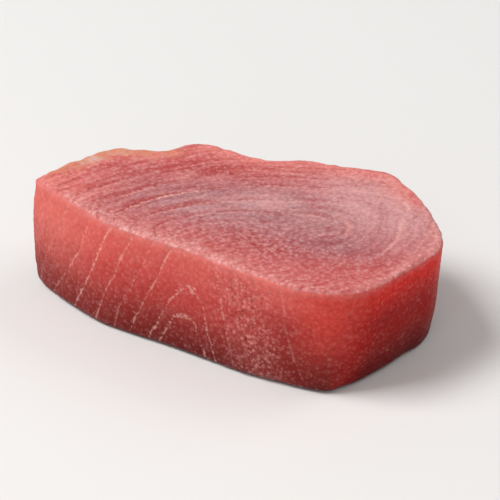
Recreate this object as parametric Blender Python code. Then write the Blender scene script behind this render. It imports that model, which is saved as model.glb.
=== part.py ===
"""Raw tuna steak: one slice cut across a skinned loin, lying on its flat base.

Metres, +Z up. The origin is in the middle of the base. The long straight cut faces -Y, the wide
rounded end faces +X, and the narrow end with its sharp corner faces -X. The wavy long side at +Y
is where the loin was pulled off the skin.
"""

import math

import bpy
import bmesh
from mathutils import Vector

# Driving dimensions
LENGTH = 0.1012           # of the cut face, from the sharp corner to the wide end
WIDTH = 0.0598            # of the cut face, across it
THICKNESS = 0.0310
FOOT_RADIUS = 0.0022      # soft lower edge, where the flesh settles on what it lies on
RIM_RADIUS = 0.0009       # crisp upper edge, left by the knife
SIDE_BULGE = 0.0006       # how far the walls swell out at half height

# How far the walls lean from the rim to the base
END_UNDERCUT = 0.0050     # the wide end, inwards
CUT_SPREAD = 0.0019       # the long cut towards the sharp corner, outwards
CUT_TUCK = 0.0022         # the long cut towards the wide end, inwards

# Where those leans start and where they are full, along the slice or, for the end, across it
SPREAD_ZONE = (-0.0160, -0.0360)
CORNER_ZONE = (-0.0490, -0.0522)  # here the spread fades out again
TUCK_ZONE = (0.0130, 0.0280)
END_ZONE = (0.0220, -0.0020)

# How squarely a wall has to face +X, or -Y, to count as the end or the long cut: from not to fully
FACES_END = (0.2, 0.9)
FACES_CUT = (0.7, 1.0)

# Divisions
STEPS_PER_ANCHOR = 5
LEAN_REACH = 4            # points each way that a wall's facing is judged from
FOOT_STEPS = 4
WALL_STEPS = 5
RIM_STEPS = 3
SMOOTH_ANGLE = math.radians(40)

# The cut face seen from above, anticlockwise, as shares of its length and width
SHARP_CORNER = (-0.518, -0.358)
LONG_CUT = [(-0.350, -0.440), (-0.240, -0.492), (-0.050, -0.492), (0.150, -0.498)]
WIDE_END = [(0.300, -0.495), (0.385, -0.440), (0.438, -0.345), (0.470, -0.185), (0.490, -0.010),
            (0.495, 0.085), (0.447, 0.228)]
SHOULDER = [(0.368, 0.355), (0.285, 0.447), (0.218, 0.500)]
SKINNED_SIDE = [(0.165, 0.478), (0.085, 0.437), (0.002, 0.405), (-0.070, 0.325),
                (-0.150, 0.303), (-0.235, 0.290), (-0.287, 0.242), (-0.312, 0.150),
                (-0.368, 0.100)]
NARROW_END = [(-0.434, 0.040), (-0.477, -0.100), (-0.503, -0.240)]


def clear_scene():
    for obj in list(bpy.data.objects):
        bpy.data.objects.remove(obj, do_unlink=True)


def outline_points():
    """The cut face's outline: points along a smooth closed curve that has one sharp corner."""
    anchors = [SHARP_CORNER] + LONG_CUT + WIDE_END + SHOULDER + SKINNED_SIDE + NARROW_END
    curve = bpy.data.curves.new("outline", "CURVE")
    curve.resolution_u = STEPS_PER_ANCHOR
    spline = curve.splines.new("BEZIER")
    spline.bezier_points.add(len(anchors) - 1)
    spline.use_cyclic_u = True
    for point, (x, y) in zip(spline.bezier_points, anchors):
        handle = "VECTOR" if (x, y) == SHARP_CORNER else "AUTO"
        point.co = (x * LENGTH, y * WIDTH, 0.0)
        point.handle_left_type = handle
        point.handle_right_type = handle
    guide = bpy.data.objects.new("outline", curve)
    bpy.context.collection.objects.link(guide)
    bpy.context.view_layer.update()
    mesh = bpy.data.meshes.new_from_object(guide)
    points = [vertex.co.copy() for vertex in mesh.vertices]
    bpy.data.objects.remove(guide)
    bpy.data.meshes.remove(mesh)
    bpy.data.curves.remove(curve)
    return points


def outward_directions(points, reach):
    """At each point, the level direction away from the slice, judged from so many points each way."""
    directions = []
    for i in range(len(points)):
        along = points[(i + reach) % len(points)] - points[i - reach]
        directions.append(Vector((along.y, -along.x, 0.0)).normalized())
    return directions


def wall_profile():
    """(height, inset) up the wall: the rounded foot, the swelling wall, then the knife's rim."""
    profile = []
    for i in range(FOOT_STEPS):
        angle = math.radians(90 * i / FOOT_STEPS)
        height = FOOT_RADIUS * (1 - math.cos(angle))
        profile.append((height, FOOT_RADIUS * (1 - math.sin(angle))))
    wall_height = THICKNESS - FOOT_RADIUS - RIM_RADIUS
    for i in range(WALL_STEPS + 1):
        share = i / WALL_STEPS
        height = FOOT_RADIUS + wall_height * share
        profile.append((height, -SIDE_BULGE * math.sin(math.pi * share)))
    for i in range(1, RIM_STEPS + 1):
        angle = math.radians(90 * i / RIM_STEPS)
        height = THICKNESS - RIM_RADIUS * (1 - math.sin(angle))
        profile.append((height, RIM_RADIUS * (1 - math.cos(angle))))
    return profile


def smooth_step(low, high, value):
    """From 0 at low to 1 at high, which may be the smaller of the two."""
    share = min(1.0, max(0.0, (value - low) / (high - low)))
    return share * share * (3 - 2 * share)


def lean(point, facing, height):
    """How far the wall at this height stands off from its place under the rim."""
    on_end = smooth_step(*FACES_END, facing.x) * smooth_step(*END_ZONE, point.y)
    on_cut = smooth_step(*FACES_CUT, -facing.y)
    spread = smooth_step(*SPREAD_ZONE, point.x) * (1 - smooth_step(*CORNER_ZONE, point.x))
    tuck = smooth_step(*TUCK_ZONE, point.x)
    off = Vector((-END_UNDERCUT * on_end, (CUT_TUCK * tuck - CUT_SPREAD * spread) * on_cut, 0.0))
    return off * (1 - height / THICKNESS)


def build_steak():
    """Rings of points up the wall, joined by quads and closed by the base and the cut face."""
    outline = outline_points()
    outward = outward_directions(outline, 1)
    facings = outward_directions(outline, LEAN_REACH)
    mesh = bmesh.new()
    rings = []
    for height, inset in wall_profile():
        ring = []
        for point, away, facing in zip(outline, outward, facings):
            place = point - away * inset + lean(point, facing, height)
            ring.append(mesh.verts.new((place.x, place.y, height)))
        rings.append(ring)
    count = len(outline)
    for lower, upper in zip(rings, rings[1:]):
        for i in range(count):
            j = (i + 1) % count
            mesh.faces.new((lower[i], lower[j], upper[j], upper[i]))
    mesh.faces.new(list(reversed(rings[0])))
    mesh.faces.new(rings[-1])
    bmesh.ops.recalc_face_normals(mesh, faces=mesh.faces)
    data = bpy.data.meshes.new("tuna_steak")
    mesh.to_mesh(data)
    mesh.free()
    data.shade_smooth()
    data.set_sharp_from_angle(angle=SMOOTH_ANGLE)
    steak = bpy.data.objects.new("tuna_steak", data)
    bpy.context.collection.objects.link(steak)
    return steak


def centre_on_base(steak):
    """Moves the mesh so that the origin is in the middle of its box, on the base."""
    corners = [Vector(corner) for corner in steak.bound_box]
    low = Vector([min(corner[axis] for corner in corners) for axis in range(3)])
    high = Vector([max(corner[axis] for corner in corners) for axis in range(3)])
    middle = (low + high) / 2
    middle.z = low.z
    for vertex in steak.data.vertices:
        vertex.co -= middle


def raw_tuna():
    """Raw tuna flesh: coral red, semi-matt and moist."""
    material = bpy.data.materials.new("raw_tuna")
    material.use_nodes = True
    shader = material.node_tree.nodes["Principled BSDF"]
    shader.inputs["Base Color"].default_value = (0.58, 0.14, 0.13, 1.0)
    shader.inputs["Roughness"].default_value = 0.45
    shader.inputs["Metallic"].default_value = 0.0
    return material


clear_scene()
tuna_steak = build_steak()
centre_on_base(tuna_steak)
tuna_steak.data.materials.append(raw_tuna())
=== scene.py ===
import math

import bpy
import numpy as np
from mathutils import Matrix, Vector, kdtree, noise


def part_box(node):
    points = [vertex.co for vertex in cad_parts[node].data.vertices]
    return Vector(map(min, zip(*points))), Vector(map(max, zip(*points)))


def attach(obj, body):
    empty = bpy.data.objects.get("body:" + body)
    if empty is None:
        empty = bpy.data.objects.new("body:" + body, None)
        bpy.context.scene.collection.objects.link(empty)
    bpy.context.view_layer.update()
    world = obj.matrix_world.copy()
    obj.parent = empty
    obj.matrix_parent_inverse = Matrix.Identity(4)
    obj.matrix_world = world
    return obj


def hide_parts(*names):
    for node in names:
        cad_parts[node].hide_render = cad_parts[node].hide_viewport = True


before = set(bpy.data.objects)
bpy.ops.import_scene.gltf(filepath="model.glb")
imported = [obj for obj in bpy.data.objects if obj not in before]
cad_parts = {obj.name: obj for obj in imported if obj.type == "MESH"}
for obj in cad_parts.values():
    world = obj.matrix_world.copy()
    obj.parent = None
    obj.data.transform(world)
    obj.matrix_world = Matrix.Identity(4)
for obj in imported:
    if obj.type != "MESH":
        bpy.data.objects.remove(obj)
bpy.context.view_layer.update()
mm = 0.001
print("frame loaded:", list(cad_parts))


def selectOnly(obj):
    bpy.ops.object.select_all(action="DESELECT")
    obj.select_set(True)
    bpy.context.view_layer.objects.active = obj


def applyModifier(obj, kind, **settings):
    selectOnly(obj)
    modifier = obj.modifiers.new(kind.lower(), kind)
    for name, value in settings.items():
        setattr(modifier, name, value)
    bpy.ops.object.modifier_apply(modifier=modifier.name)


def smoothStep(low, high, value):  # 0 at low to 1 at high, which may be the smaller
    share = np.clip((value - low) / (high - low), 0, 1)
    return share * share * (3 - 2 * share)


def softMin(first, second, blend):  # the smaller of two, with the crease between them rounded
    share = np.clip(0.5 + 0.5 * (second - first) / blend, 0, 1)
    return second * (1 - share) + first * share - blend * share * (1 - share)


def hill(x, middle, reach):  # 1 in the middle, fading out to both sides
    return np.exp(-((x - middle) / reach) ** 2)


def mixOf(ends, share):  # from the first end to the second
    return ends[0] + (ends[1] - ends[0]) * share


noiseSteps = (17.3, 5.9, 11.1)  # each seed reads a stretch of the noise this much further on


def noiseAt(points, size, seed):  # smooth noise from -1 to 1; size is a lump's width in mm
    shift = Vector([seed * step for step in noiseSteps])
    return np.array([noise.noise(Vector(point) / size + shift) for point in points.tolist()])


def linearColour(code):  # "#rrggbb" in sRGB to linear RGBA
    channels = [int(code[i:i + 2], 16) / 255 for i in (1, 3, 5)]
    linear = [c / 12.92 if c <= 0.04045 else ((c + 0.055) / 1.055) ** 2.4 for c in channels]
    return (*linear, 1.0)


def addNode(material, kind, settings, output=0):  # each entry is a setting, an input's value or a link
    tree = material.node_tree
    node = tree.nodes.new(kind)
    for name, value in settings.items():
        if isinstance(value, bpy.types.NodeSocket):
            tree.links.new(value, node.inputs[name])
        elif isinstance(name, str) and hasattr(node, name):
            setattr(node, name, value)
        else:
            node.inputs[name].default_value = value
    return node.outputs[output]


# Places below are in millimetres from the middle of the base: x along the steak, y across, z up.
steak = {
    "node": "tuna_steak",
    "voxel": 0.47,              # fine enough for the fibres' relief
    "smoothing": 5,             # passes that round the CAD facets off
    "cutFacing": (0.3, 0.65),   # upward share of the normal, from a wall to the cut face
    "rimFacing": (0.45, 0.85),  # and on the knife's edge between them
    "rimDepth": 1.2,            # that edge lies less than this below the top
    "knifeWaveHeight": 0.30,    # the cut face isn't a perfect plane
    "knifeWaveSize": 26,
    "wallWaveHeight": 0.35,
    "wallWaveSize": 16,
    "blockSwell": 0.12,         # each muscle block stands proud between its two sheets
    "swellMean": 0.6,           # taken off, so that the steak keeps its size
    "sheetGroove": 0.06,        # the sheet itself lies in a fine groove
    "grooveReach": 0.12,        # as a share of the layer
    "grainHeight": 0.07,
    "grainSize": 1.1,
    "edgeHeight": 0.3,          # the rim isn't a clean line
    "edgeSize": 2.6,
    "edgeReach": 1.5,
    "baseFading": (0.2, 2.5),   # the base stays flat: heights where the relief starts and is full
}

# Thin white sheets part the muscle into layers nested like cones. Their level is worked out from
# two cores: one by the long cut, one along the middle of the wide end.
layers = {
    "sheets": [-1.5, 1.2, 6.5, 11.5, 17.5, 24.5, 31.0, 38.0, 45.0],  # level of each sheet
    "strength": [0.9, 1.0, 0.8, 0.5, 0.65, 1.0, 0.6, 0.3, 0.1],      # how clearly each one shows
    "frontCore": (3.0, -24.0),
    "frontLean": 0.125,          # the front core shifts to -x with depth, per mm
    "coneRise": 0.295,           # the layers widen with depth, per mm
    "roundness": 3.3,            # 2 is a circle, more is squarer
    "skew": 0.19,                # the front core leans over along the slice
    "rimTightness": 0.75,        # level per mm from the front core out to the long cut
    "endCore": (24.0, -2.0),
    "endCoreLength": 20.0,
    "endLevel": 12.0,
    "coreBlend": 6.0,
    "slope": math.radians(28),   # the layers' run along the skinned side
    "rimShift": 3.7,             # the layers turn a little as they reach the long cut
    "rimShiftFrom": (-29, -24),  # along y
    "topNarrowing": 0.35,        # the knife meets the sheets aslant on the cut face
    "wander": 0.7,
    "wanderSize": 9,
    "fineWander": 0.28,
    "fineWanderSize": 2.25,
}


def layerLevel(x, y, depth):
    cosine, sine = math.cos(layers["slope"]), math.sin(layers["slope"])
    dx = x - layers["frontCore"][0] + layers["frontLean"] * depth
    dy = y - layers["frontCore"][1]
    sideways = np.abs(dx - layers["skew"] * dy)
    across = np.maximum(np.maximum(dy * cosine - dx * sine, -layers["rimTightness"] * dy), 0)
    power = layers["roundness"]
    front = (sideways ** power + across ** power) ** (1 / power)
    dx, dy = x - layers["endCore"][0], y - layers["endCore"][1]
    along = dx * cosine + dy * sine
    beyond = along - np.clip(along, -layers["endCoreLength"], 0)
    end = np.hypot(beyond, dy * cosine - dx * sine) + layers["endLevel"]
    turned = layers["rimShift"] * smoothStep(*layers["rimShiftFrom"], y)
    return softMin(front, end, layers["coreBlend"]) - layers["coneRise"] * depth - turned


def layerNumber(level):  # whole numbers fall on the sheets
    sheets = np.array(layers["sheets"])
    count = np.arange(len(sheets))
    innerGap, outerGap = sheets[1] - sheets[0], sheets[-1] - sheets[-2]
    number = np.interp(level, sheets, count)
    number = np.where(level < sheets[0], (level - sheets[0]) / innerGap, number)
    return np.where(level > sheets[-1], count[-1] + (level - sheets[-1]) / outerGap, number)


def layerWidth(number):  # mm from one sheet to the next
    gaps = np.diff(layers["sheets"])
    return gaps[np.clip(np.floor(number), 0, len(gaps) - 1).astype(int)]


def sheetStrength(number):  # how clearly the nearest sheet shows; none lies inside the first
    strength = np.array(layers["strength"])
    nearest = np.clip(np.round(number), 0, len(strength) - 1).astype(int)
    return np.where(number < -0.5, 0, strength[nearest])


def copyOfNode(name):
    obj = bpy.data.objects.new("tunaFlesh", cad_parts[name].data.copy())
    bpy.context.scene.collection.objects.link(obj)
    obj.data.materials.clear()
    selectOnly(obj)
    bpy.ops.object.mode_set(mode="EDIT")
    bpy.ops.mesh.select_all(action="SELECT")
    bpy.ops.mesh.remove_doubles(threshold=0.01 * mm)
    bpy.ops.object.mode_set(mode="OBJECT")
    return obj


def readMesh(obj):
    count = len(obj.data.vertices)
    points = np.empty(count * 3)
    obj.data.vertices.foreach_get("co", points)
    normals = np.empty(count * 3)
    obj.data.vertices.foreach_get("normal", normals)
    return points.reshape(-1, 3) / mm, normals.reshape(-1, 3)


def writeMesh(obj, points):
    obj.data.vertices.foreach_set("co", (points * mm).ravel())
    obj.data.update()


def addAttribute(obj, name, values):
    attribute = obj.data.attributes.new(name, "FLOAT", "POINT")
    attribute.data.foreach_set("value", values.astype(np.float32))


def rimDistance(points, normals):  # mm from each point to the knife's edge round the cut face
    height, upwards = points[:, 2], normals[:, 2]
    low, high = steak["rimFacing"]
    rim = points[(height > height.max() - steak["rimDepth"]) & (upwards > low) & (upwards < high)]
    tree = kdtree.KDTree(len(rim))
    for i, point in enumerate(rim):
        tree.insert(point, i)
    tree.balance()
    return np.array([tree.find(point)[2] for point in points.tolist()])


# The loin's outer membrane, left on the narrow end along the skinned side.
membrane = {
    "start": (-52.0, -17.0),
    "end": (-28.0, 13.5),
    "width": (2.4, 4.2),      # below the rim and on the cut face, at its widest
    "reach": 6.0,             # on the cut face it lies this close to the line from start to end
    "facing": 0.5,            # and below the rim its walls turn at least this much away from it
    "away": -3.0,             # depth given to the rest of the steak
    "bump": 0.45,             # its torn edge is lumpy
    "bumpSize": 3.2,
    "bumpFrom": (-0.5, 1.0),  # mm inside the edge
}


def membraneDepth(points, normals, rimGap, cutFace):  # mm inside the membrane's edge, negative outside it
    start, end = np.array(membrane["start"]), np.array(membrane["end"])
    chord = end - start
    length = np.hypot(*chord)
    along = ((points[:, :2] - start) @ chord) / length ** 2
    outside = (chord[0] * (points[:, 1] - start[1]) - chord[1] * (points[:, 0] - start[0])) / length
    bow = np.sqrt(np.sin(np.pi * np.clip(along, 0, 1)))  # the strip tapers to both ends
    width = bow * mixOf(membrane["width"], cutFace)
    facing = (normals[:, 1] * chord[0] - normals[:, 0] * chord[1]) / length
    onTop = cutFace > 0.5
    onSkin = np.where(onTop, outside > -membrane["reach"], facing > membrane["facing"])
    return np.where(onSkin & (along > 0) & (along < 1), width - rimGap, membrane["away"])


# Soft patches of tone and of painted sheen on the cut face: middle, reach along and across, and turn in
# degrees.
tonePatches = {
    # grey heart: partly the flesh's own grey tone, partly painted sheen
    "greyHeartAndSheen": ((4, -3), (37, 12), 22),
    "darkBand": ((-20, 4.8), (24, 3.3), 27),
    # painted sheen: two pale hazes on the cut face
    "whiteSheen": ((2, -1), (11, 3.4), 28),
    "frontSheen": ((-9, -12.5), (9, 2.6), 6),
    "palePink": ((29, 15), (21, 12), -20),
    "redGrain": ((13, -16), (17, 5.5), 4),
    "duskyEnd": ((28, -8.5), (15, 7), 24),
    "narrowCoral": ((-43, -17), (10, 11), 30),
    "fan": ((-20, -14), (20, 11), 25),
    "quiet": ((20, -16), (27, 9), 12),
}


def patchShare(x, y, centre, reach, turn):
    cosine, sine = math.cos(math.radians(turn)), math.sin(math.radians(turn))
    dx, dy = x - centre[0], y - centre[1]
    along = (dx * cosine + dy * sine) / reach[0]
    across = (dy * cosine - dx * sine) / reach[1]
    return np.exp(-along ** 2 - across ** 2)


# Where each tone or speck lies. A pair is where it starts and where it is full, or what its note says.
zones = {
    "frontFacing": (0.4, 0.8),      # share of the surface's normal towards -y: the long cut
    "backFacing": (0.1, 0.5),       # towards +y: the skinned side
    "endFacing": (0.45, 0.75),      # towards +x: the wide end
    "endFrom": (-28, -15),          # the wide end, along y
    "cornerFrom": (25, 41),         # the corner before it, along x
    "narrowFrom": (-22, -46),       # the paler narrow end, along x
    "footShadeFrom": (-25, 5),           # the painted shade at the foot grows darkest, along x
    "footShadeShare": (0.72, 0.92),      # its strength before and after
    "speckleMiddle": 14,            # the granular stretch of the long cut, along x at the rim
    "speckleLean": 0.23,            # and its shift to +x with depth, per mm
    "speckleReach": 7,
    "speckleDepth": (0, 6),
    "shadeMiddle": 28,              # the dark red stretch before the corner, along x
    "shadeReach": 6,
    "shadeDepth": (5, 14),
    "rimWidth": (3.2, 2.2),         # painted highlight: a pale band inside the knife's edge, and narrowed
    "rimNarrowing": (0, 30),        # along x
    "rimRun": (1 / 60, -1 / 30),    # it shows on the side that this direction in x and y points to
    "rimFrom": (-0.3, 0.5),
    "rimFading": (8, 28),           # it is weaker along x
    "rimFadingFront": (-8, -18),    # at the front, along y
    "backBandWidth": 5.2,           # paler band along the skinned side
    "backBandRun": (0.5, -0.86),    # across the steak from that side
    "backBandTo": (6, -1),
    "glowDepth": (15, 1),           # smooth, half translucent flesh under the rim
    "sheetDepth": (0.2, 2.8),
    "sheetFading": (4, 16),         # sheets are weaker beyond, along x
    "granuleHeight": (-3, 9),       # moist granules, partly painted glints, thin out towards the foot, where the walls carry painted shade
    "moistHeight": (1.5, 0.7),      # moist specks along the foot, painted white as glints
    "moistFrom": (-6, 2),
    "moistTo": (44, 36),
}

# How much of a pattern each area brings, added up.
shares = {
    "darkSpecks": {"cutFace": 0.25, "redGrain": 0.25, "end": 0.2, "corner": 0.1, "lowWall": 0.17,
             "lowSpeckled": 0.12},
    "streaks": {"cutFace": 0.6, "quiet": -0.5, "palePink": -0.25},
    "paleGrain": {"cutFace": 0.28, "redGrain": 0.1, "rimHighlight": 0.3, "wall": 0.03, "plainWall": 0.07,
                  "speckledWall": 0.14},
    "granules": {"plainFront": 0.1, "speckled": 0.6, "end": 0.16, "corner": 0.16, "back": 0.08},
    "sheetOnTop": {"cutFace": 0.6, "fan": 0.4},
    "sheetOnWall": {"plainWall": 0.85},
}

# How much of a pattern is lost in an area.
losses = {
    "rimHighlightAtFront": 0.5,
    "darkSpecksInGlow": 0.6,
    "sheetsInQuiet": 0.9,
    "sheetsFarAlong": 0.68,
    "sheetsAtBack": 0.6,
}


def rimBands(x, y, rimGap, cutFace):  # a painted highlight inside the rim at the front and wide end, then a paler band along the back
    width = mixOf(zones["rimWidth"], smoothStep(*zones["rimNarrowing"], x))
    facing = x * zones["rimRun"][0] + y * zones["rimRun"][1]
    fading = smoothStep(*zones["rimFading"], x) * smoothStep(*zones["rimFadingFront"], y)
    rimHighlight = hill(rimGap, 0, width) * cutFace * smoothStep(*zones["rimFrom"], facing)
    across = x * zones["backBandRun"][0] + y * zones["backBandRun"][1]
    backBand = hill(rimGap, 0, zones["backBandWidth"]) * cutFace * smoothStep(*zones["backBandTo"], across)
    return rimHighlight * (1 - losses["rimHighlightAtFront"] * fading), backBand


def fleshAreas(points, normals, rimGap, cutFace):  # how far each point is in each area, from 0 to 1
    x, y, z = points.T
    depth = z.max() - z
    wall = 1 - cutFace
    patch = {name: patchShare(x, y, *where) * cutFace for name, where in tonePatches.items()}
    front = smoothStep(*zones["frontFacing"], -normals[:, 1]) * wall
    back = smoothStep(*zones["backFacing"], normals[:, 1]) * wall
    end = smoothStep(*zones["endFacing"], normals[:, 0]) * smoothStep(*zones["endFrom"], y) * wall
    corner = smoothStep(*zones["cornerFrom"], x) * (wall - end) * (1 - back)
    plain = (1 - end) * (1 - corner)  # away from the wide end's smooth red walls
    speckled = hill(x, zones["speckleMiddle"] + zones["speckleLean"] * depth, zones["speckleReach"])
    speckled *= smoothStep(*zones["speckleDepth"], depth) * front * plain
    shade = hill(x, zones["shadeMiddle"], zones["shadeReach"]) * smoothStep(*zones["shadeDepth"], depth)
    lowWall = wall * (1 - losses["darkSpecksInGlow"] * smoothStep(*zones["glowDepth"], depth))
    rimHighlight, backBand = rimBands(x, y, rimGap, cutFace)
    return patch | {
        "cutFace": cutFace,
        "wall": wall,
        "plainWall": wall * plain,
        "speckledWall": wall * speckled,
        "lowWall": lowWall,
        "lowSpeckled": lowWall * speckled,
        "front": front,
        "plainFront": front * plain,
        "back": back,
        "end": end,
        "corner": corner,
        "cornerShade": shade * front,
        "speckled": speckled,
        "rimHighlight": rimHighlight,
        "backBand": backBand,
    }


def fleshMasks(points, normals, level, number, rimGap, cutFace, skin):  # what the material reads
    x, y, z = points.T
    depth = z.max() - z
    area = fleshAreas(points, normals, rimGap, cutFace)
    total = {
        name: sum(share * area[where] for where, share in parts.items()) for name, parts in shares.items()
    }
    sheetOnTop = total["sheetOnTop"] * (1 - losses["sheetsInQuiet"] * area["quiet"])
    sheetOnWall = total["sheetOnWall"] * smoothStep(*zones["sheetDepth"], depth)
    sheetOnWall *= 1 - losses["sheetsFarAlong"] * smoothStep(*zones["sheetFading"], x)
    sheetOnWall *= 1 - losses["sheetsAtBack"] * area["back"]
    moist = area["front"] * smoothStep(*zones["moistHeight"], z)
    moist *= smoothStep(*zones["moistFrom"], x) * smoothStep(*zones["moistTo"], x)
    masks = {
        "layer": number,
        "gapScale": layerWidth(number) * (1 - layers["topNarrowing"] * cutFace),
        "level": level,
        "depth": depth,
        "narrowEnd": smoothStep(*zones["narrowFrom"], x) * area["wall"],
        # strength of the painted shade at the foot
        "foot": mixOf(zones["footShadeShare"], smoothStep(*zones["footShadeFrom"], x)),
        "darkSpecks": total["darkSpecks"],
        "streaks": total["streaks"],
        "paleGrain": total["paleGrain"],
        "granules": total["granules"] * smoothStep(*zones["granuleHeight"], z),
        "sheet": sheetStrength(number) * (sheetOnTop + sheetOnWall),
        "moisture": moist,
        "membrane": skin,
    }
    wholeAreas = ["cutFace", "end", "corner", "cornerShade", "speckled", "rimHighlight", "backBand"]
    wholeAreas += [name for name in tonePatches if name != "quiet"]
    return masks | {name: area[name] for name in wholeAreas}


def buildFlesh():
    obj = copyOfNode(steak["node"])
    applyModifier(obj, "REMESH", mode="VOXEL", voxel_size=steak["voxel"] * mm, use_smooth_shade=True)
    applyModifier(obj, "SMOOTH", factor=0.5, iterations=steak["smoothing"])
    points, normals = readMesh(obj)
    x, y, z = points.T
    cutFace = smoothStep(*steak["cutFacing"], normals[:, 2])
    rimGap = rimDistance(points, normals)
    wander = layers["wander"] * noiseAt(points, layers["wanderSize"], 1)
    wander += layers["fineWander"] * noiseAt(points, layers["fineWanderSize"], 2)
    level = layerLevel(x, y, (z.max() - z) * (1 - cutFace)) + wander
    number = layerNumber(level)
    gap = np.abs(number - np.round(number))  # 0 on a sheet, a half between two
    skin = membraneDepth(points, normals, rimGap, cutFace)
    off = steak["knifeWaveHeight"] * noiseAt(points, steak["knifeWaveSize"], 3) * cutFace
    off += steak["wallWaveHeight"] * noiseAt(points, steak["wallWaveSize"], 4) * (1 - cutFace)
    off += steak["blockSwell"] * (smoothStep(0, 0.5, gap) - steak["swellMean"])
    off -= steak["sheetGroove"] * (1 - smoothStep(0, steak["grooveReach"], gap)) * sheetStrength(number)
    off += steak["grainHeight"] * noiseAt(points, steak["grainSize"], 5)
    off += steak["edgeHeight"] * noiseAt(points, steak["edgeSize"], 7) * hill(rimGap, 0, steak["edgeReach"])
    lumps = membrane["bump"] * noiseAt(points, membrane["bumpSize"], 6)
    off += lumps * smoothStep(*membrane["bumpFrom"], skin)
    lift = smoothStep(*steak["baseFading"], z)
    for name, values in fleshMasks(points, normals, level, number, rimGap, cutFace, skin).items():
        addAttribute(obj, name, values)
    writeMesh(obj, points + normals * (off * lift)[:, None])
    selectOnly(obj)
    bpy.ops.object.shade_smooth()
    return obj


tunaFlesh = buildFlesh()
print("flesh built:", len(tunaFlesh.data.polygons), "faces")


flesh = {
    "cutCoral": "#bd5856",         # the cut face
    "backPale": "#dc7d75",
    "darkRed": "#a33836",
    # grey heart: partly the flesh's own grey tone, partly painted sheen
    "heartGreyAndSheen": "#a27377",
    "farPink": "#c99493",
    "duskyRose": "#97656b",
    # painted sheen on the cut face, and painted glints on moist specks along the foot
    "sheenWhite": "#d6aaa8",
    # painted highlight along the rim, and the pale streaks along the layers
    "rimHighlightAndStreakPink": "#dc948e",
    "wallCoral": "#c84b45",        # the walls, from the rim down
    # painted glow: the walls lighter under the rim
    "wallPaintedGlow": "#dc6a61",
    # painted shade: the walls darker with depth and at the foot
    "wallDeepShade": "#9b2f2a",
    "wallShade": "#85170f",
    "footShadeRed": "#540605",
    "narrowPale": "#da7067",
    "speckledRose": "#bd625d",
    "cornerRed": "#e24338",
    "endRed": "#de2015",
    # painted shade: the wide end darker down from the rim and at the foot
    "endDeepShade": "#9f0b07",
    "endFootShade": "#4e0202",
    "darkSpeckRed": "#7c1d1c",           # darker red specks among the cut fibres
    "fleckPink": "#e0b5b4",        # fibre ends
    "granuleGlintPink": "#dc8b82",      # moist specks on the walls, partly painted glints
    "sheetWhite": "#e8b0a6",
    "membraneTan": "#cc8468",
    "membraneGrey": "#cda699",
    "sheetHalf": 0.38,             # mm from a sheet's middle to where it has faded out
    "sheetSpecks": (0.42, -0.3),   # specks push its edge in and out, mm
    "sheetClumps": (-0.12, 0.2),   # and clumps break it up
    "fineGrain": 0.95,             # cut fibre bundles, mm, drawn as coarse as they need to show
    "coarseGrain": 1.3,
    "fleckSize": 0.9,
    "bundleSize": 1.1,
    "bundleContrast": 0.35,
    "nudgeSize": 1.25,             # bends their sides
    "clumpSize": 5.0,
    "clumpSpread": (0.4, 0.65),    # where most of the clumps' noise lies
    "noiseSpread": (0.3, 0.7),     # where nearly all of a noise's values lie
    "streakWidth": 1.6,            # pale and dark streaks along the layers, mm
    "streakLength": 9.0,
    "streakRun": (0.7, 0.5, 0.3),  # their lengthways direction in x, y and z
    "tornSize": 2.08,              # rags of the membrane's edge, mm
    "tornReach": 3.0,
    "tornFading": (-1.0, 2.2),     # mm inside the membrane's edge
    "membraneShare": 0.9,
    "roughness": (0.60, 0.36),     # damp fibre and wet fibre
    "bumpStrength": 0.7,
    "bumpHeight": 0.12 * mm,
    "sockets": {
        "IOR": 1.38,               # flesh is mostly water
        "Specular IOR Level": 0.12,
        "Subsurface Weight": 0.35,
        "Subsurface Radius": (1.0, 0.28, 0.18),  # red light goes deepest into it
        "Subsurface Scale": 1.2 * mm,
        "Coat Weight": 0.03,       # a thin film of moisture
        "Coat Roughness": 0.22,
    },
}


def readMasks(material):  # the masks stored on the mesh, by name
    masks = {}
    for attribute in tunaFlesh.data.attributes:
        if attribute.domain == "POINT" and attribute.data_type == "FLOAT":
            name = attribute.name
            masks[name] = addNode(material, "ShaderNodeAttribute", {"attribute_name": name}, "Fac")
    return masks


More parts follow.
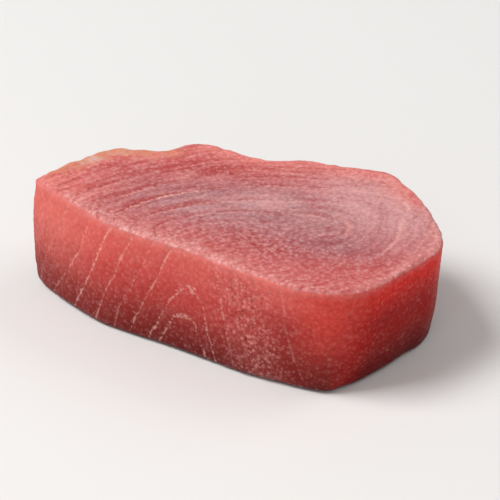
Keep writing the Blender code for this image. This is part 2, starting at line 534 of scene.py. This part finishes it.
def addGrain(material, mask):  # patterns of cut fibre, in mm on Object coordinates
    place = addNode(material, "ShaderNodeTexCoord", {}, "Object")
    place = addNode(material, "ShaderNodeVectorMath", {"operation": "SCALE", 0: place, "Scale": 1 / mm})
    grain = {}
    for name, size, detail, seed in (
        ("fine", flesh["fineGrain"], 3.0, 0.0),
        ("coarse", flesh["coarseGrain"], 3.0, 3.0),
        ("fleck", flesh["fleckSize"], 2.0, 7.0),
        ("clump", flesh["clumpSize"], 3.0, 17.0),
        ("torn", flesh["tornSize"], 4.0, 23.0),
    ):
        settings = {"noise_dimensions": "4D", "Vector": place, "W": seed, "Scale": 1 / size,
                    "Detail": detail, "Roughness": 0.6}
        grain[name] = addNode(material, "ShaderNodeTexNoise", settings)

    # fibre bundles: small cells with uneven sides, some paler and some darker
    settings = {"Vector": place, "Scale": 1 / flesh["nudgeSize"]}
    nudge = addNode(material, "ShaderNodeTexNoise", settings, "Color")
    nudged = addNode(material, "ShaderNodeVectorMath", {"operation": "ADD", 0: place, 1: nudge})
    cells = addNode(material, "ShaderNodeTexVoronoi", {"Vector": nudged, "Scale": 1 / flesh["bundleSize"]})
    shade = cells.node.outputs["Color"]
    settings = {"operation": "MULTIPLY_ADD", 0: shade, 1: -flesh["bundleContrast"], 2: cells}
    grain["bundle"] = addNode(material, "ShaderNodeMath", settings)

    # streaks that follow the layers: noise sampled on the layers' level, stretched along them
    settings = {"operation": "DOT_PRODUCT", 0: place, 1: flesh["streakRun"]}
    along = addNode(material, "ShaderNodeVectorMath", settings, "Value")
    streakPlace = addNode(material, "ShaderNodeCombineXYZ", {0: mask["level"], 1: along})
    stretch = (1 / flesh["streakWidth"], 1 / flesh["streakLength"], 1.0)
    settings = {"operation": "MULTIPLY", 0: streakPlace, 1: stretch}
    streakPlace = addNode(material, "ShaderNodeVectorMath", settings)
    settings = {"Vector": streakPlace, "Scale": 1.0, "Detail": 4.0}
    grain["streak"] = addNode(material, "ShaderNodeTexNoise", settings)

    # moist granules, partly painted glints: the middles of the bundles that lie on a pale streak
    settings = {"operation": "MULTIPLY_ADD", 0: grain["streak"], 1: -1.0, 2: grain["bundle"]}
    grain["granule"] = addNode(material, "ShaderNodeMath", settings)
    return grain


def addSheets(material, mask, grain):  # ragged white lines where a layer's number is whole
    gap = addNode(material, "ShaderNodeMath", {"operation": "PINGPONG", 0: mask["layer"], 1: 0.5})
    gap = addNode(material, "ShaderNodeMath", {"operation": "MULTIPLY", 0: gap, 1: mask["gapScale"]})
    for pattern, spread, push in (
        ("fleck", flesh["noiseSpread"], flesh["sheetSpecks"]),
        ("clump", flesh["clumpSpread"], flesh["sheetClumps"]),
    ):
        settings = {"Value": grain[pattern], "From Min": spread[0], "From Max": spread[1],
                    "To Min": push[0], "To Max": push[1]}
        ragged = addNode(material, "ShaderNodeMapRange", settings)
        gap = addNode(material, "ShaderNodeMath", {"operation": "ADD", 0: gap, 1: ragged})
    settings = {"Value": gap, "From Min": flesh["sheetHalf"], "From Max": 0.0, "To Max": mask["sheet"]}
    return addNode(material, "ShaderNodeMapRange", settings)


def addMembrane(material, mask, grain):  # the share of membrane, with a torn edge
    low, high = flesh["noiseSpread"]
    reach = flesh["tornReach"]
    settings = {"Value": grain["torn"], "From Min": low, "From Max": high, "To Min": -reach, "To Max": reach}
    torn = addNode(material, "ShaderNodeMapRange", settings)
    edge = addNode(material, "ShaderNodeMath", {"operation": "ADD", 0: mask["membrane"], 1: torn})
    start, full = flesh["tornFading"]
    settings = {"Value": edge, "From Min": start, "From Max": full, "To Max": flesh["membraneShare"]}
    return addNode(material, "ShaderNodeMapRange", settings)


def rawTunaFlesh():  # raw tuna, sliced with a knife: moist, half translucent, coral to deep red
    material = bpy.data.materials.new("rawTunaFlesh")
    material.use_nodes = True
    shader = material.node_tree.nodes["Principled BSDF"]
    mask = readMasks(material)
    grain = addGrain(material, mask)
    sheet = addSheets(material, mask, grain)
    skin = addMembrane(material, mask, grain)
    across = addNode(material, "ShaderNodeMath", {"operation": "FRACT", 0: mask["layer"]})

    # Each row lays one colour over those before it: a pattern, the values where it starts and where
    # it is full, and the most of it, as a share or a mask.
    rows = (
        ("narrowPale", mask["narrowEnd"], 0.0, 1.0, 0.85),
        # painted glow: the walls lighter towards the rim
        ("wallPaintedGlow", mask["depth"], 12.0, 0.0, 0.85),
        ("cornerRed", mask["corner"], 0.0, 1.0, 0.75),
        # painted shade: darker down the walls and darkest at the foot
        ("wallDeepShade", mask["depth"], 9.0, 23.0, 0.8),
        ("footShadeRed", mask["depth"], 17.0, 30.0, mask["foot"]),
        ("wallShade", mask["cornerShade"], 0.0, 1.0, 0.5),
        ("speckledRose", mask["speckled"], 0.0, 1.0, 0.3),
        ("endRed", mask["end"], 0.0, 1.0, 1.0),
        # painted highlight along the top of the walls
        ("rimHighlightAndStreakPink", mask["depth"], 2.8, 0.0, 0.4),
        # painted shade: the wide end darker down from the rim and at the foot
        ("endDeepShade", mask["depth"], 3.0, 12.0, mask["end"]),
        ("endFootShade", mask["depth"], 16.0, 31.0, mask["end"]),
        ("cutCoral", mask["cutFace"], 0.0, 1.0, 1.0),
        # grey heart: partly the flesh's own grey tone, partly painted sheen
        ("heartGreyAndSheen", mask["greyHeartAndSheen"], 0.0, 0.7, 0.9),
        ("farPink", mask["palePink"], 0.0, 0.8, 0.9),
        ("duskyRose", mask["duskyEnd"], 0.0, 1.0, 0.8),
        ("darkRed", mask["darkBand"], 0.0, 1.0, 0.58),
        ("farPink", mask["redGrain"], 0.0, 1.0, 0.12),
        ("backPale", mask["backBand"], 0.0, 0.9, 0.85),
        ("narrowPale", mask["narrowCoral"], 0.0, 1.0, 0.6),
        # painted sheen on the cut face
        ("sheenWhite", mask["whiteSheen"], 0.0, 1.0, 0.5),
        ("sheenWhite", mask["frontSheen"], 0.0, 1.0, 0.35),
        # painted highlight inside the rim
        ("rimHighlightAndStreakPink", mask["rimHighlight"], 0.0, 1.0, 0.7),
        ("darkRed", across, 0.5, 0.0, mask["fan"]),
        ("darkRed", grain["streak"], 0.50, 0.30, mask["streaks"]),
        ("rimHighlightAndStreakPink", grain["streak"], 0.50, 0.75, mask["streaks"]),
        ("darkSpeckRed", grain["fine"], 0.50, 0.25, mask["darkSpecks"]),
        ("darkSpeckRed", grain["coarse"], 0.48, 0.28, mask["darkSpecks"]),
        ("darkSpeckRed", grain["bundle"], 0.4, 0.8, mask["darkSpecks"]),
        ("darkRed", grain["fleck"], 0.52, 0.38, mask["redGrain"]),
        ("fleckPink", grain["coarse"], 0.50, 0.8, mask["paleGrain"]),
        ("fleckPink", grain["bundle"], 0.3, -0.1, mask["paleGrain"]),
        ("darkSpeckRed", grain["fleck"], 0.50, 0.34, mask["granules"]),
        # moist granules, partly painted glints
        ("granuleGlintPink", grain["coarse"], 0.52, 0.95, mask["granules"]),
        ("granuleGlintPink", grain["granule"], -0.25, -0.65, mask["granules"]),
        # painted glints on moist specks along the foot
        ("sheenWhite", grain["bundle"], 0.15, 0.0, mask["moisture"]),
        ("sheetWhite", sheet, 0.0, 1.0, 0.65),
        ("membraneTan", skin, 0.0, 1.0, 1.0),
        ("membraneGrey", grain["clump"], 0.52, 0.68, skin),
    )
    tone = addNode(material, "ShaderNodeRGB", {})
    tone.default_value = linearColour(flesh["wallCoral"])
    for colour, pattern, start, full, most in rows:
        settings = {"Value": pattern, "From Min": start, "From Max": full, "To Max": most}
        share = addNode(material, "ShaderNodeMapRange", settings)
        settings = {"data_type": "RGBA", 0: share, 6: tone, 7: linearColour(flesh[colour])}
        tone = addNode(material, "ShaderNodeMix", settings, 2)

    low, high = flesh["noiseSpread"]
    damp, wet = flesh["roughness"]
    settings = {"Value": grain["fine"], "From Min": low, "From Max": high, "To Min": damp, "To Max": wet}
    roughness = addNode(material, "ShaderNodeMapRange", settings)
    height = addNode(material, "ShaderNodeMath", {"operation": "ADD", 0: grain["fine"], 1: grain["bundle"]})
    settings = {"Strength": flesh["bumpStrength"], "Distance": flesh["bumpHeight"], "Height": height}
    bump = addNode(material, "ShaderNodeBump", settings)
    for name, output in {"Base Color": tone, "Roughness": roughness, "Normal": bump}.items():
        material.node_tree.links.new(output, shader.inputs[name])
    for name, value in flesh["sockets"].items():
        shader.inputs[name].default_value = value
    return material


tunaFlesh.data.materials.append(rawTunaFlesh())
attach(tunaFlesh, "root")
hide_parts(steak["node"])
print("flesh material made")


studio = {
    "floorColour": "#dfdddb",
    "floorSize": 6.0,
    "floorGap": 0.05 * mm,         # below the steak's base
    "floorRoughness": 0.9,
    "azimuth": 30.9,               # of the camera round the steak, in degrees
    "elevation": 32.25,
    "distance": 0.8237,            # in metres
    "roll": -1.0,
    "lens": 234,                   # in mm, as is the sensor
    "sensorWidth": 36,
    "backgroundColour": "#ffffff",
    "backgroundStrength": 0.3,
    "lights": {                    # azimuth, elevation, distance, width in metres and power in watts
        "key": (-50, 56, 1.6, 0.7, 23),
        "front": (20, 30, 1.8, 1.0, 4),
        "back": (138, 42, 1.8, 1.1, 8),
    },
}


def paintedFloor():  # a board with pale matt paint: even in colour, without a shine
    material = bpy.data.materials.new("paintedFloor")
    material.use_nodes = True
    shader = material.node_tree.nodes["Principled BSDF"]
    shader.inputs["Base Color"].default_value = linearColour(studio["floorColour"])
    shader.inputs["Roughness"].default_value = studio["floorRoughness"]
    return material


def addFloor():
    bpy.ops.mesh.primitive_plane_add(size=studio["floorSize"], location=(0, 0, -studio["floorGap"]))
    floor = bpy.context.active_object
    floor.name = "studioFloor"
    floor.data.materials.append(paintedFloor())


def aimAtSteak(name, data, azimuth, elevation, distance, roll=0):  # a camera or light that looks at it
    low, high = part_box(steak["node"])
    middle = (Vector(low) + Vector(high)) / 2
    turn, rise = math.radians(azimuth), math.radians(elevation)
    away = Vector((math.sin(turn) * math.cos(rise), -math.cos(turn) * math.cos(rise), math.sin(rise)))
    obj = bpy.data.objects.new(name, data)
    obj.location = middle + away * distance
    aim = (-away).to_track_quat("-Z", "Y").to_matrix()
    obj.rotation_euler = (aim @ Matrix.Rotation(math.radians(-roll), 3, "Z")).to_euler()
    bpy.context.scene.collection.objects.link(obj)
    return obj


def addCamera():
    camera = bpy.data.cameras.new("camera")
    camera.lens = studio["lens"]
    camera.sensor_width = studio["sensorWidth"]
    place = (studio["azimuth"], studio["elevation"], studio["distance"])
    bpy.context.scene.camera = aimAtSteak("camera", camera, *place, studio["roll"])


def addLight(name, azimuth, elevation, distance, width, power):
    light = bpy.data.lights.new(name, "AREA")
    light.size = width
    light.energy = power
    aimAtSteak(name, light, azimuth, elevation, distance)


def addWorld():
    world = bpy.data.worlds.new("studio")
    world.use_nodes = True
    background = world.node_tree.nodes["Background"]
    background.inputs["Color"].default_value = linearColour(studio["backgroundColour"])
    background.inputs["Strength"].default_value = studio["backgroundStrength"]
    bpy.context.scene.world = world


addFloor()
addWorld()
addCamera()
for name, place in studio["lights"].items():
    addLight(name, *place)
bpy.context.scene.view_settings.view_transform = "Standard"
print("studio set:", len(studio["lights"]), "lights")
